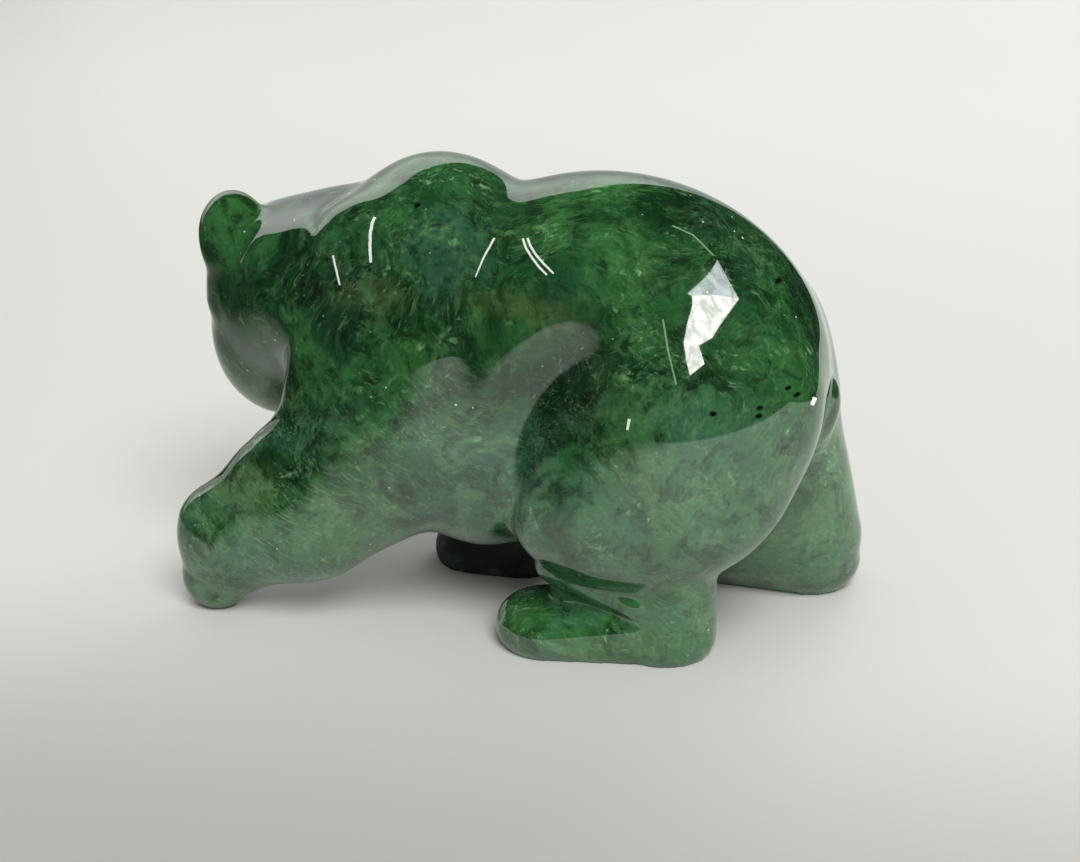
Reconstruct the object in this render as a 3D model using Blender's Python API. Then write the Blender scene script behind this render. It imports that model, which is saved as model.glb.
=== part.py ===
# A bear carved from one block of nephrite jade, walking, with its head turned to its right.
# +Z is up and the bear walks towards -X, so its left side is towards -Y. Metres throughout.
# The forms are laid out in shares of the bear's length, as a carver marks a block, with the
# floor at zero height. Each mass is a distance field, and the masses melt into one skin.

import math

import bmesh
import bpy
import numpy as np
from mathutils import Euler, Matrix

# The driving size, in metres.
BEAR_LENGTH = 0.100

# The forms run over this many shares from cheek to heel.
FORM_LENGTH = 98.8
SHARE = BEAR_LENGTH / FORM_LENGTH

# Spacing of the skin's points in shares, and the part of its facets that is kept.
FACET_SIZE = 0.94
FACETS_KEPT = 0.145

# Opposite corners of the block, in shares.
BLOCK_LOW = (-58, -30, -4)
BLOCK_HIGH = (54, 36, 71)

# Stone left below the feet, sawn off for level soles, and how near a corner counts as level.
SOLE_ALLOWANCE = 1.0
LEVEL_WITHIN = 0.35

JADE_GREEN = (0.022, 0.100, 0.034, 1.0)
POLISH = 0.08


def turned(points, degrees):
    """The points in the axes of a mass that is turned by these degrees about X, Y and Z."""
    if not any(degrees):
        return points
    turn = Euler([math.radians(angle) for angle in degrees]).to_matrix()
    return points @ np.array(turn)


def egg(points, centre, radii, degrees=(0, 0, 0)):
    """Distance to an ellipsoid."""
    local = turned(points - np.array(centre, float), degrees)
    radii = np.array(radii, float)
    near = np.linalg.norm(local / radii, axis=1)
    slope = np.linalg.norm(local / radii**2, axis=1)
    return near * (near - 1) / np.maximum(slope, 1e-9)


def taper(points, start, end, start_radius, end_radius, flat=1.0):
    """Distance to a limb: a rod with round ends, thinner across Y by the flat."""
    start = np.array(start, float) * (1, flat, 1)
    along = np.array(end, float) * (1, flat, 1) - start
    offset = points * (1, flat, 1) - start
    share = np.clip(offset @ along / (along @ along), 0, 1)
    radius = start_radius + (end_radius - start_radius) * share
    return np.linalg.norm(offset - share[:, None] * along, axis=1) - radius


def melt(first, second, width):
    """Union of two masses with a soft fillet of this width between them."""
    near = np.maximum(width - np.abs(first - second), 0) / width
    return np.minimum(first, second) - near**3 * width / 6


def cut(mass, tool, width):
    """The mass with the tool taken away, and the edge of the cut eased by this width."""
    return -melt(-mass, tool, width)


def groove(mass, tool, depth, width):
    """The mass with its skin sunk by the depth at the tool, easing out over the width."""
    near = np.clip(1 - tool / width, 0, 1)
    return mass + depth * near**2 * (3 - 2 * near)


def slab(points, toe, heel, toe_radius, heel_radius, height, rise, corner):
    """Distance to a foot: a long pad with round ends and eased edges, its top climbing by rise."""
    toe, heel = np.array(toe, float), np.array(heel, float)
    along = heel - toe
    offset = points[:, :2] - toe
    share = np.clip(offset @ along / (along @ along), 0, 1)
    radius = toe_radius + (heel_radius - toe_radius) * share
    across = np.linalg.norm(offset - share[:, None] * along, axis=1) - radius
    half = (height + rise * share + SOLE_ALLOWANCE) / 2
    upright = np.abs(points[:, 2] + SOLE_ALLOWANCE - half) - half
    over = np.stack([across, upright], axis=1) + corner
    outside = np.linalg.norm(np.maximum(over, 0), axis=1)
    return outside + np.minimum(over.max(axis=1), 0) - corner


def torso(points):
    belly = egg(points, (-3.5, 0, 32), (28, 12.5, 23))
    flank = egg(points, (4, 0, 44.3), (24, 16.5, 16.8))
    rump = egg(points, (13.6, 0, 38.5), (29.8, 20.5, 25.6), (0, 9, 0))
    hump = egg(points, (-11.3, 0, 44), (17.2, 17.5, 21.8))
    chest = egg(points, (-17.5, 2, 31), (13, 13, 17))
    tail = egg(points, (42.0, 2.5, 31.5), (2.4, 2.6, 5.0), (0, 14, 0))
    body = melt(belly, flank, 6)
    body = melt(body, chest, 8)
    body = melt(body, hump, 5)
    body = melt(body, rump, 3)
    for side in (-1, 1):
        hollow = egg(points * (1, side, 1), (5.6, 25.5, 32), (9.5, 11, 22), (0, 27, 0))
        body = cut(body, hollow, 4)
        fold = egg(points * (1, side, 1), (-4, 6.5, 25), (12, 9.8, 13.2))
        body = melt(body, fold, 6)
    return melt(body, tail, 2)


def head(points):
    neck = taper(points, (-18, 1, 46), (-31.6, 4.5, 44.2), 15.4, 13.9)
    nape = taper(points, (-18, -1.5, 48.5), (-28.5, -0.5, 47.8), 12, 12)
    top_arch = taper(points, (-48, 4.5, 16.2), (-18, 4.5, 24.8), 36, 36)
    side_arch = taper(points, (-48, 50, 40), (-18, 46.5, 40), 60, 60)
    skull = egg(points, (-37.6, 9, 41), (11.2, 13, 14), (0, 0, 25))
    jowl = egg(points, (-37.5, 9.5, 34.5), (11.2, 12, 11.5))
    brow = taper(points, (-40, 14, 42), (-44, 21.5, 35), 8.5, 5.5)
    snout = taper(points, (-40, 14, 35), (-44.5, 22.5, 31), 8.0, 5.6)
    chin = taper(points, (-39, 13, 31), (-43.5, 21.5, 27.5), 6.5, 3.6)
    near_ear = egg(points, (-41.6, -0.8, 52.7), (5, 5, 6.5))
    near_root = taper(points, (-41.4, -0.6, 50), (-42.6, 3, 43), 4.4, 5)
    far_ear = egg(points, (-30.5, 15, 49), (5, 4.4, 6.2), (0, 0, -25))
    shape = melt(skull, jowl, 6)
    shape = melt(shape, brow, 5)
    shape = melt(shape, snout, 4)
    shape = melt(shape, chin, 3)
    nose = egg(points, (-46.6, 26.9, 32.2), (2.5, 1.9, 1.7), (0, 0, 28))
    shape = melt(shape, nose, 0.8)
    mouth = egg(points, (-44.5, 22.5, 28.2), (6.6, 7.6, 0.5), (8, 0, 28))
    shape = groove(shape, mouth, 1.0, 1.3)
    for place in ((-48.4, 19.6, 39.6), (-39.1, 23.8, 39.6)):
        outward = np.array(place) - (-38, 11, 39.6)
        outward /= np.linalg.norm(outward)
        shape = cut(shape, egg(points, place + 2.1 * outward, (3.2, 3.2, 2.9)), 1.6)
        shape = melt(shape, egg(points, place - 1.0 * outward, (2.0, 2.0, 1.8)), 1.5)
    shape = melt(shape, neck, 5)
    shape = melt(shape, nape, 4)
    shape = cut(shape, -top_arch, 1)
    shape = cut(shape, -side_arch, 1)
    shape = melt(shape, melt(near_ear, near_root, 2), 2.5)
    return melt(shape, far_ear, 2.0)


def front_leg(points, side, shoulder, elbow, wrist):
    """The shoulder and fore leg down to the wrist. Places are X, out from the middle and Z."""
    points = points * (1, side, 1)
    x, y, z = shoulder
    blade = egg(points, shoulder, (15.6, 10.5, 23), (5, 10, 0))
    ridge = taper(points, (x - 5.6, y - 2, z + 14), (x - 9.6, y, z - 5), 7.3, 7.2)
    upper = taper(points, (x - 1, y, z - 11), elbow, 14.5, 11.3, 1.35)
    lower = taper(points, elbow, wrist, 11.3, 8.4, 1.35)
    leg = melt(melt(blade, ridge, 3), upper, 6)
    return melt(leg, lower, 3)


def near_front(points):
    leg = front_leg(points, -1, (-14, 9.5, 39.6), (-29.3, 11.8, 17), (-39.6, 12.3, 11))
    return melt(leg, taper(points, (-39.6, -12, 11), (-42.8, -12.5, 4.5), 8.2, 5.0, 1.2), 3)


def far_front(points):
    leg = front_leg(points, 1, (-11, 9, 38.5), (-9.5, 10.5, 19), (-5.5, 11.5, 11))
    ankle = slab(points, (-6.5, 11.8), (-2.5, 12), 6.2, 6.4, 14, 0, 3)
    foot = slab(points, (-9.5, 12), (-3, 12), 6.8, 6.8, 5, 2, 2.6)
    leg = melt(leg, ankle, 3)
    return melt(leg, foot, 2)


def near_hind(points):
    points = points * (1, -1, 1)
    haunch = egg(points, (22.6, 10.3, 30.5), (18, 12, 23), (5, 36, 0))
    thigh = egg(points, (20, 12.2, 21), (18.2, 9.8, 10), (0, -12, 0))
    ankle = slab(points, (12, 9.5), (23.2, 10.9), 5.4, 7.1, 17, 0, 3)
    fold = taper(points, (8.6, 13, 12.5), (20, 15.8, 8.5), 3.4, 2.4)
    foot = slab(points, (7, 12.5), (23.4, 10.6), 7.4, 6.9, 6.2, 2.2, 3.4)
    leg = melt(haunch, thigh, 5)
    leg = melt(leg, ankle, 3)
    leg = melt(leg, fold, 1)
    return melt(leg, foot, 1)


def far_hind(points):
    haunch = egg(points, (23, 9.5, 31), (18, 11.5, 23), (0, 35, 0))
    shank = taper(points, (35.2, 10, 30), (40.2, 14.5, 8), 8.4, 8.4)
    thigh = egg(points, (29, 12, 16), (14, 9, 15))
    foot = slab(points, (25, 16), (41, 15.6), 7, 7.6, 6.2, 2.2, 5)
    leg = melt(haunch, shank, 8)
    leg = melt(leg, thigh, 8)
    return melt(leg, foot, 2)


def bear(points):
    """Distance to the whole carving, before its soles are cut flat."""
    # the near haunch leaves a crease at the flank and runs smoothly into the rump
    back = np.clip((points[:, 0] - 10) / 11, 0, 1)
    haunch_melt = 2 + 6 * back**2 * (3 - 2 * back)
    shape = melt(torso(points), head(points), 4)
    for leg, width in ((near_front, 4), (far_front, 6), (near_hind, haunch_melt), (far_hind, 6)):
        shape = melt(shape, leg(points), width)
    return shape


def slope_of(field, points, step=0.05):
    """The field and its slope at each point."""
    moved = [field(points + step * axis) - field(points - step * axis) for axis in np.eye(3)]
    return field(points), np.stack(moved, axis=1) / (2 * step)


def settle(field, points, rounds):
    """Slides each point down the field's slope onto the skin."""
    for _ in range(rounds):
        value, slope = slope_of(field, points)
        steep = np.maximum((slope**2).sum(axis=1), 0.04)
        points = points - (value / steep)[:, None] * slope
    return points


def skin_of(field, low, high, cell):
    """Points and four-sided faces of the surface where the field is zero."""
    axes = [np.arange(a, b + cell, cell) for a, b in zip(low, high)]
    size = [len(axis) for axis in axes]
    values = np.empty(size, np.float32)
    for i, x in enumerate(axes[0]):
        y, z = np.meshgrid(axes[1], axes[2], indexing="ij")
        points = np.stack([np.full(y.size, x), y.ravel(), z.ravel()], axis=1)
        values[i] = field(points).reshape(y.shape)
    inside = values < 0
    corners = [inside[i:size[0] - 1 + i, j:size[1] - 1 + j, k:size[2] - 1 + k]
               for i in (0, 1) for j in (0, 1) for k in (0, 1)]
    count = np.sum(corners, axis=0)
    mixed = (count > 0) & (count < 8)
    number = np.full(mixed.shape, -1)
    number[mixed] = np.arange(mixed.sum())
    points = np.array(low) + cell * (np.argwhere(mixed) + 0.5)
    faces = []
    for axis in range(3):
        u, v = (axis + 1) % 3, (axis + 2) % 3
        first = np.take(inside, range(size[axis] - 1), axis)
        second = np.take(inside, range(1, size[axis]), axis)
        for leaving in (True, False):
            edges = np.argwhere((first & ~second) if leaving else (second & ~first))
            edges = edges[(edges[:, u] > 0) & (edges[:, v] > 0)]
            ring = []
            for du, dv in ((1, 1), (0, 1), (0, 0), (1, 0)):
                cells = edges.copy()
                cells[:, u] -= du
                cells[:, v] -= dv
                ring.append(number[tuple(cells.T)])
            ring = np.stack(ring, axis=1)
            faces.append(ring if leaving else ring[:, ::-1])
    return points, np.concatenate(faces)


def relax(points, faces, rounds):
    """Evens the spacing of the points along the skin."""
    ends = np.concatenate([faces[:, [i, (i + 1) % 4]] for i in range(4)])
    for _ in range(rounds):
        total = np.zeros_like(points)
        np.add.at(total, ends[:, 0], points[ends[:, 1]])
        near = np.bincount(ends[:, 0], minlength=len(points))
        points = 0.4 * points + 0.6 * total / near[:, None]
    return points


def carved(field, cell, rounds=3):
    """The finished skin as points and faces."""
    points, faces = skin_of(field, BLOCK_LOW, BLOCK_HIGH, cell)
    points = settle(field, points, 3)
    for _ in range(rounds):
        points = settle(field, relax(points, faces, 1), 2)
    return points, faces


def jade():
    """Polished deep green nephrite."""
    material = bpy.data.materials.new("jade")
    material.use_nodes = True
    stone = material.node_tree.nodes["Principled BSDF"]
    stone.inputs["Base Color"].default_value = JADE_GREEN
    stone.inputs["Metallic"].default_value = 0.0
    stone.inputs["Roughness"].default_value = POLISH
    return material


def faceted(mesh, share):
    """The mesh with this share of its facets, placed where the form needs them."""
    holder = bpy.data.objects.new("holder", mesh)
    bpy.context.scene.collection.objects.link(holder)
    fewer = holder.modifiers.new("fewer facets", "DECIMATE")
    fewer.ratio = share
    graph = bpy.context.evaluated_depsgraph_get()
    light = bpy.data.meshes.new_from_object(holder.evaluated_get(graph))
    bpy.data.objects.remove(holder)
    return light


def level_soles(mesh):
    """Saws the feet off level with the floor and closes them with flat soles."""
    form = bmesh.new()
    form.from_mesh(mesh)
    for corner in form.verts:
        if abs(corner.co.z) < LEVEL_WITHIN * SHARE:
            corner.co.z = 0
    whole = form.verts[:] + form.edges[:] + form.faces[:]
    bmesh.ops.bisect_plane(form, geom=whole, dist=SHARE / 50, plane_co=(0, 0, 0),
                           plane_no=(0, 0, 1), clear_inner=True)
    level = [face for face in form.faces if all(corner.co.z <= 0 for corner in face.verts)]
    bmesh.ops.delete(form, geom=level, context="FACES")
    rim = [edge for edge in form.edges if edge.is_boundary]
    bmesh.ops.holes_fill(form, edges=rim)
    bmesh.ops.triangulate(form, faces=form.faces[:])
    bmesh.ops.recalc_face_normals(form, faces=form.faces[:])
    form.to_mesh(mesh)
    form.free()


def main():
    for old in list(bpy.data.objects):
        bpy.data.objects.remove(old)
    points, faces = carved(bear, FACET_SIZE)
    mesh = bpy.data.meshes.new("bear")
    mesh.from_pydata((points * SHARE).tolist(), [], faces.tolist())
    mesh = faceted(mesh, FACETS_KEPT)
    level_soles(mesh)
    places = np.array([corner.co for corner in mesh.vertices])
    middle = (places.min(axis=0) + places.max(axis=0)) / 2
    mesh.transform(Matrix.Translation((-middle[0], -middle[1], 0)))
    mesh.materials.append(jade())
    mesh.name = "bear"
    carving = bpy.data.objects.new("bear", mesh)
    bpy.context.scene.collection.objects.link(carving)


main()
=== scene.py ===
import math

import bmesh
import bpy
import numpy as np
from mathutils import Euler, Matrix, Vector


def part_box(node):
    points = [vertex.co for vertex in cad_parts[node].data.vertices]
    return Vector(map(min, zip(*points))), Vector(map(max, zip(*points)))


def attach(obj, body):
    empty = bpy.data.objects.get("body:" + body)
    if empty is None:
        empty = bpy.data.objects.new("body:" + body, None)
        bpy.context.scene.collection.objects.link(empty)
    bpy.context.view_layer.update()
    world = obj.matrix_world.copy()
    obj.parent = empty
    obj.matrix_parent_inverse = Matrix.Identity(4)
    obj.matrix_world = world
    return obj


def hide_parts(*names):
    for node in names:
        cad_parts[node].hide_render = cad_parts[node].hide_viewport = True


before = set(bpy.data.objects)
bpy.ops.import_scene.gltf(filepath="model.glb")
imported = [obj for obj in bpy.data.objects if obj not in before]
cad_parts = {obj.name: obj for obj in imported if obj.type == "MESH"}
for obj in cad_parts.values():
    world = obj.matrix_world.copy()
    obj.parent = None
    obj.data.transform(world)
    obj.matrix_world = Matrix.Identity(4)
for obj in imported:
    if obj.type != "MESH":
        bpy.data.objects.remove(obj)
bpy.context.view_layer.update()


def tint(red, green, blue):
    # screen colour, 0 to 255, as the linear colour a shader wants
    linear = [(c / 255 / 12.92) if c <= 10 else ((c / 255 + 0.055) / 1.055) ** 2.4
              for c in (red, green, blue)]
    return (*linear, 1.0)


# Shaping the bear. Places are in shares of its length, as the carver marks the block.

bearForm = {
    "length": 0.100,         # metres from head to heel
    "shares": 98.8,          # the same length in shares
    "pointGap": 0.56,        # shares between skin points
    "quickGap": 0.9,
    "blockLow": (-58, -30, -4),
    "blockHigh": (54, 36, 71),
    "soleAllowance": 1.0,    # stone under the feet that is sawn off
    "levelWithin": 0.25,
    "handWave": 0.003,       # slope that hand polishing leaves in the skin
    "handWaveCount": 9,
    "handWaveLengths": (9, 24),
    "evening": 0.6,          # how far a point moves to the middle of its neighbours
    "eyes": [(-48.4, 19.6, 39.6), (-39.1, 23.8, 39.6)],
    "eyeMiddle": (-38, 11, 39.6),    # what both eyes look away from
}
share = bearForm["length"] / bearForm["shares"]


def turnedPoints(points, degrees):
    if not any(degrees):
        return points
    turn = Euler([math.radians(angle) for angle in degrees]).to_matrix()
    return points @ np.array(turn)


def egg(points, centre, radii, degrees=(0, 0, 0)):
    local = turnedPoints(points - np.array(centre, float), degrees)
    radii = np.array(radii, float)
    near = np.linalg.norm(local / radii, axis=1)
    slope = np.linalg.norm(local / radii**2, axis=1)
    return near * (near - 1) / np.maximum(slope, 1e-9)


def taper(points, start, end, startRadius, endRadius, flat=1.0):
    start = np.array(start, float) * (1, flat, 1)
    along = np.array(end, float) * (1, flat, 1) - start
    offset = points * (1, flat, 1) - start
    part = np.clip(offset @ along / (along @ along), 0, 1)
    radius = startRadius + (endRadius - startRadius) * part
    return np.linalg.norm(offset - part[:, None] * along, axis=1) - radius


def melt(first, second, width):
    near = np.maximum(width - np.abs(first - second), 0) / width
    return np.minimum(first, second) - near**3 * width / 6


def cut(mass, tool, width):
    return -melt(-mass, tool, width)


def groove(mass, tool, depth, width):
    near = np.clip(1 - tool / width, 0, 1)
    return mass + depth * near**2 * (3 - 2 * near)


def footPad(points, toe, heel, toeRadius, heelRadius, height, rise, corner):
    toe, heel = np.array(toe, float), np.array(heel, float)
    along = heel - toe
    offset = points[:, :2] - toe
    part = np.clip(offset @ along / (along @ along), 0, 1)
    radius = toeRadius + (heelRadius - toeRadius) * part
    across = np.linalg.norm(offset - part[:, None] * along, axis=1) - radius
    half = (height + rise * part + bearForm["soleAllowance"]) / 2
    upright = np.abs(points[:, 2] + bearForm["soleAllowance"] - half) - half
    over = np.stack([across, upright], axis=1) + corner
    outside = np.linalg.norm(np.maximum(over, 0), axis=1)
    return outside + np.minimum(over.max(axis=1), 0) - corner


def torso(points):
    belly = egg(points, (-3.5, 0, 32), (28, 12.5, 23))
    flank = egg(points, (4, 0, 44.3), (24, 16.5, 16.8))
    rump = egg(points, (13.6, 0, 38.5), (29.8, 20.5, 25.6), (0, 9, 0))
    hump = egg(points, (-11.3, 0, 44), (17.2, 17.5, 21.8))
    chest = egg(points, (-17.5, 2, 31), (13, 13, 17))
    tail = egg(points, (42.0, 2.5, 31.5), (2.4, 2.6, 5.0), (0, 14, 0))
    body = melt(belly, flank, 6)
    body = melt(body, chest, 8)
    body = melt(body, hump, 5)
    body = melt(body, rump, 3)
    for side in (-1, 1):
        hollow = egg(points * (1, side, 1), (5.6, 25.5, 32), (9.5, 11, 22), (0, 27, 0))
        body = cut(body, hollow, 4)
        fold = egg(points * (1, side, 1), (-4, 6.5, 25), (12, 9.8, 13.2))
        body = melt(body, fold, 6)
    return melt(body, tail, 2)


def head(points):
    neck = taper(points, (-18, 1, 46), (-31.6, 4.5, 44.2), 15.4, 13.9)
    nape = taper(points, (-18, -1.5, 48.5), (-28.5, -0.5, 47.8), 12, 12)
    topArch = taper(points, (-48, 4.5, 16.2), (-18, 4.5, 24.8), 36, 36)
    sideArch = taper(points, (-48, 50, 40), (-18, 46.5, 40), 60, 60)
    skull = egg(points, (-37.6, 9, 41), (11.2, 13, 14), (0, 0, 25))
    jowl = egg(points, (-37.5, 9.5, 34.5), (11.2, 12, 11.5))
    brow = taper(points, (-40, 14, 42), (-44, 21.5, 35), 8.5, 5.5)
    snout = taper(points, (-40, 14, 35), (-44.5, 22.5, 31), 8.0, 5.6)
    chin = taper(points, (-39, 13, 31), (-43.5, 21.5, 27.5), 6.5, 3.6)
    nearEar = egg(points, (-41.6, -0.8, 52.7), (5, 5, 6.5))
    nearRoot = taper(points, (-41.4, -0.6, 50), (-42.6, 3, 43), 4.4, 5)
    farEar = egg(points, (-30.5, 15, 49), (5, 4.4, 6.2), (0, 0, -25))
    shape = melt(skull, jowl, 6)
    shape = melt(shape, brow, 5)
    shape = melt(shape, snout, 4)
    shape = melt(shape, chin, 3)
    nose = egg(points, (-46.6, 26.9, 32.2), (2.5, 1.9, 1.7), (0, 0, 28))
    shape = melt(shape, nose, 0.8)
    mouth = egg(points, (-44.5, 22.5, 28.2), (6.6, 7.6, 0.5), (8, 0, 28))
    shape = groove(shape, mouth, 1.0, 1.3)
    for eye in np.array(bearForm["eyes"]):
        outward = eye - bearForm["eyeMiddle"]
        outward /= np.linalg.norm(outward)
        shape = cut(shape, egg(points, eye + 2.1 * outward, (3.2, 3.2, 2.9)), 1.6)
        shape = melt(shape, egg(points, eye - 1.0 * outward, (2.0, 2.0, 1.8)), 0.6)
    shape = melt(shape, neck, 5)
    shape = melt(shape, nape, 4)
    shape = cut(shape, -topArch, 1)
    shape = cut(shape, -sideArch, 1)
    shape = melt(shape, melt(nearEar, nearRoot, 2), 2.5)
    return melt(shape, farEar, 2.0)


def frontLeg(points, side, shoulder, elbow, wrist):
    points = points * (1, side, 1)
    x, y, z = shoulder
    blade = egg(points, shoulder, (15.6, 10.5, 23), (5, 10, 0))
    ridge = taper(points, (x - 5.6, y - 2, z + 14), (x - 9.6, y, z - 5), 7.3, 7.2)
    upper = taper(points, (x - 1, y, z - 11), elbow, 14.5, 11.3, 1.35)
    lower = taper(points, elbow, wrist, 11.3, 8.4, 1.35)
    leg = melt(melt(blade, ridge, 3), upper, 6)
    return melt(leg, lower, 3)


def nearFront(points):
    leg = frontLeg(points, -1, (-14, 9.5, 39.6), (-29.3, 11.8, 17), (-39.6, 12.3, 11))
    return melt(leg, taper(points, (-39.6, -12, 11), (-42.8, -12.5, 4.5), 8.2, 5.0, 1.2), 3)


def farFront(points):
    leg = frontLeg(points, 1, (-11, 9, 38.5), (-9.5, 10.5, 19), (-5.5, 11.5, 11))
    ankle = footPad(points, (-6.5, 11.8), (-2.5, 12), 6.2, 6.4, 14, 0, 3)
    foot = footPad(points, (-9.5, 12), (-3, 12), 6.8, 6.8, 5, 2, 2.6)
    leg = melt(leg, ankle, 3)
    return melt(leg, foot, 2)


def nearHind(points):
    points = points * (1, -1, 1)
    haunch = egg(points, (22.6, 10.3, 30.5), (18, 12, 23), (5, 36, 0))
    thigh = egg(points, (20, 12.2, 21), (18.2, 9.8, 10), (0, -12, 0))
    ankle = footPad(points, (12, 9.5), (23.2, 10.9), 5.4, 7.1, 17, 0, 3)
    fold = taper(points, (8.6, 13, 12.5), (20, 15.8, 8.5), 3.4, 2.4)
    foot = footPad(points, (7, 12.5), (23.4, 10.6), 7.4, 6.9, 6.2, 2.2, 3.4)
    leg = melt(haunch, thigh, 5)
    leg = melt(leg, ankle, 3)
    leg = melt(leg, fold, 1)
    return melt(leg, foot, 1)


def farHind(points):
    haunch = egg(points, (23, 9.5, 31), (18, 11.5, 23), (0, 35, 0))
    shank = taper(points, (35.2, 10, 30), (40.2, 14.5, 8), 8.4, 8.4)
    thigh = egg(points, (29, 12, 16), (14, 9, 15))
    foot = footPad(points, (25, 16), (41, 15.6), 7, 7.6, 6.2, 2.2, 5)
    leg = melt(haunch, shank, 8)
    leg = melt(leg, thigh, 8)
    return melt(leg, foot, 2)


def handWaves():
    # long shallow waves of a hand held polishing wheel, the same on every run
    chance = np.random.default_rng(11)
    count = bearForm["handWaveCount"]
    ways = chance.normal(size=(count, 3))
    ways /= np.linalg.norm(ways, axis=1)[:, None]
    lengths = chance.uniform(*bearForm["handWaveLengths"], count)
    slope = bearForm["handWave"] * math.sqrt(2 / count)
    heights = slope * lengths / (2 * math.pi)
    starts = chance.uniform(0, 2 * math.pi, count)
    return ways * (2 * math.pi / lengths)[:, None], heights, starts


waveWays, waveHeights, waveStarts = handWaves()


def bearSkin(points):
    # the near haunch leaves a crease at the flank and runs smoothly into the rump
    back = np.clip((points[:, 0] - 10) / 11, 0, 1)
    haunchMelt = 2 + 6 * back**2 * (3 - 2 * back)
    shape = melt(torso(points), head(points), 4)
    for leg, width in ((nearFront, 4), (farFront, 6), (nearHind, haunchMelt), (farHind, 6)):
        shape = melt(shape, leg(points), width)
    return shape + np.sin(points @ waveWays.T + waveStarts) @ waveHeights


def slopeOf(field, points, step=0.05):
    moved = [field(points + step * axis) - field(points - step * axis) for axis in np.eye(3)]
    return np.stack(moved, axis=1) / (2 * step)


def settle(field, points, rounds):
    for _ in range(rounds):
        slope = slopeOf(field, points)
        steep = np.maximum((slope**2).sum(axis=1), 0.04)
        points = points - (field(points) / steep)[:, None] * slope
    return points


def skinOf(field, low, high, gap):
    # one point in each cell that the skin crosses, one face for each edge that it cuts
    axes = [np.arange(a, b + gap, gap) for a, b in zip(low, high)]
    size = [len(axis) for axis in axes]
    values = np.empty(size, np.float32)
    for i, x in enumerate(axes[0]):
        y, z = np.meshgrid(axes[1], axes[2], indexing="ij")
        points = np.stack([np.full(y.size, x), y.ravel(), z.ravel()], axis=1)
        values[i] = field(points).reshape(y.shape)
    inside = values < 0
    corners = [inside[i:size[0] - 1 + i, j:size[1] - 1 + j, k:size[2] - 1 + k]
               for i in (0, 1) for j in (0, 1) for k in (0, 1)]
    count = np.sum(corners, axis=0)
    mixed = (count > 0) & (count < 8)
    number = np.full(mixed.shape, -1)
    number[mixed] = np.arange(mixed.sum())
    points = np.array(low) + gap * (np.argwhere(mixed) + 0.5)
    faces = []
    for axis in range(3):
        u, v = (axis + 1) % 3, (axis + 2) % 3
        first = np.take(inside, range(size[axis] - 1), axis)
        second = np.take(inside, range(1, size[axis]), axis)
        for leaving in (True, False):
            edges = np.argwhere((first & ~second) if leaving else (second & ~first))
            edges = edges[(edges[:, u] > 0) & (edges[:, v] > 0)]
            ring = []
            for du, dv in ((1, 1), (0, 1), (0, 0), (1, 0)):
                cells = edges.copy()
                cells[:, u] -= du
                cells[:, v] -= dv
                ring.append(number[tuple(cells.T)])
            ring = np.stack(ring, axis=1)
            faces.append(ring if leaving else ring[:, ::-1])
    return points, np.concatenate(faces)


def evened(points, faces):
    ends = np.concatenate([faces[:, [i, (i + 1) % 4]] for i in range(4)])
    total = np.zeros_like(points)
    for axis in range(3):
        total[:, axis] = np.bincount(ends[:, 0], points[ends[:, 1], axis], len(points))
    near = np.bincount(ends[:, 0], minlength=len(points))
    part = bearForm["evening"]
    return (1 - part) * points + part * total / near[:, None]


def levelSoles(mesh):
    # saws the feet off flat at the floor and closes them
    form = bmesh.new()
    form.from_mesh(mesh)
    for corner in form.verts:
        if abs(corner.co.z) < bearForm["levelWithin"] * share:
            corner.co.z = 0
    whole = form.verts[:] + form.edges[:] + form.faces[:]
    bmesh.ops.bisect_plane(form, geom=whole, dist=share / 50, plane_co=(0, 0, 0),
                           plane_no=(0, 0, 1), clear_inner=True)
    level = [face for face in form.faces if all(corner.co.z <= 0 for corner in face.verts)]
    bmesh.ops.delete(form, geom=level, context="FACES")
    rim = [edge for edge in form.edges if edge.is_boundary]
    bmesh.ops.holes_fill(form, edges=rim)
    for face in form.faces:
        face.smooth = True
    form.to_mesh(mesh)
    form.free()


def polishedNormals(mesh, offset):
    # shading follows the true skin, and the soles stay flat to their rims
    count = len(mesh.vertices)
    places = np.empty(count * 3)
    mesh.vertices.foreach_get("co", places)
    places = places.reshape(-1, 3)
    slope = slopeOf(bearSkin, (places - offset) / share)
    slope /= np.linalg.norm(slope, axis=1)[:, None]
    normals = np.empty((len(mesh.loops), 3))
    for face in mesh.polygons:
        corners = list(face.vertices)
        sole = max(places[corners, 2]) < 1e-6
        normals[face.loop_indices] = (0, 0, -1) if sole else slope[corners]
    mesh.normals_split_custom_set(normals.tolist())


def carvedBear():
    gap = bearForm["pointGap"]
    points, faces = skinOf(bearSkin, bearForm["blockLow"], bearForm["blockHigh"], gap)
    points = settle(bearSkin, points, 2)
    for _ in range(2):
        points = settle(bearSkin, evened(points, faces), 2)
    mesh = bpy.data.meshes.new("jadeBear")
    mesh.from_pydata((points * share).tolist(), [], faces.tolist())
    levelSoles(mesh)
    low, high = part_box("bear")
    places = np.array([corner.co for corner in mesh.vertices])
    offset = (np.array(low) + np.array(high) - places.min(axis=0) - places.max(axis=0)) / 2
    offset[2] = 0
    mesh.transform(Matrix.Translation(offset))
    polishedNormals(mesh, offset)
    bear = bpy.data.objects.new("jadeBear", mesh)
    bpy.context.scene.collection.objects.link(bear)
    print("bear carved:", len(mesh.polygons), "faces")
    return bear, offset


# Photo camera

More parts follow.
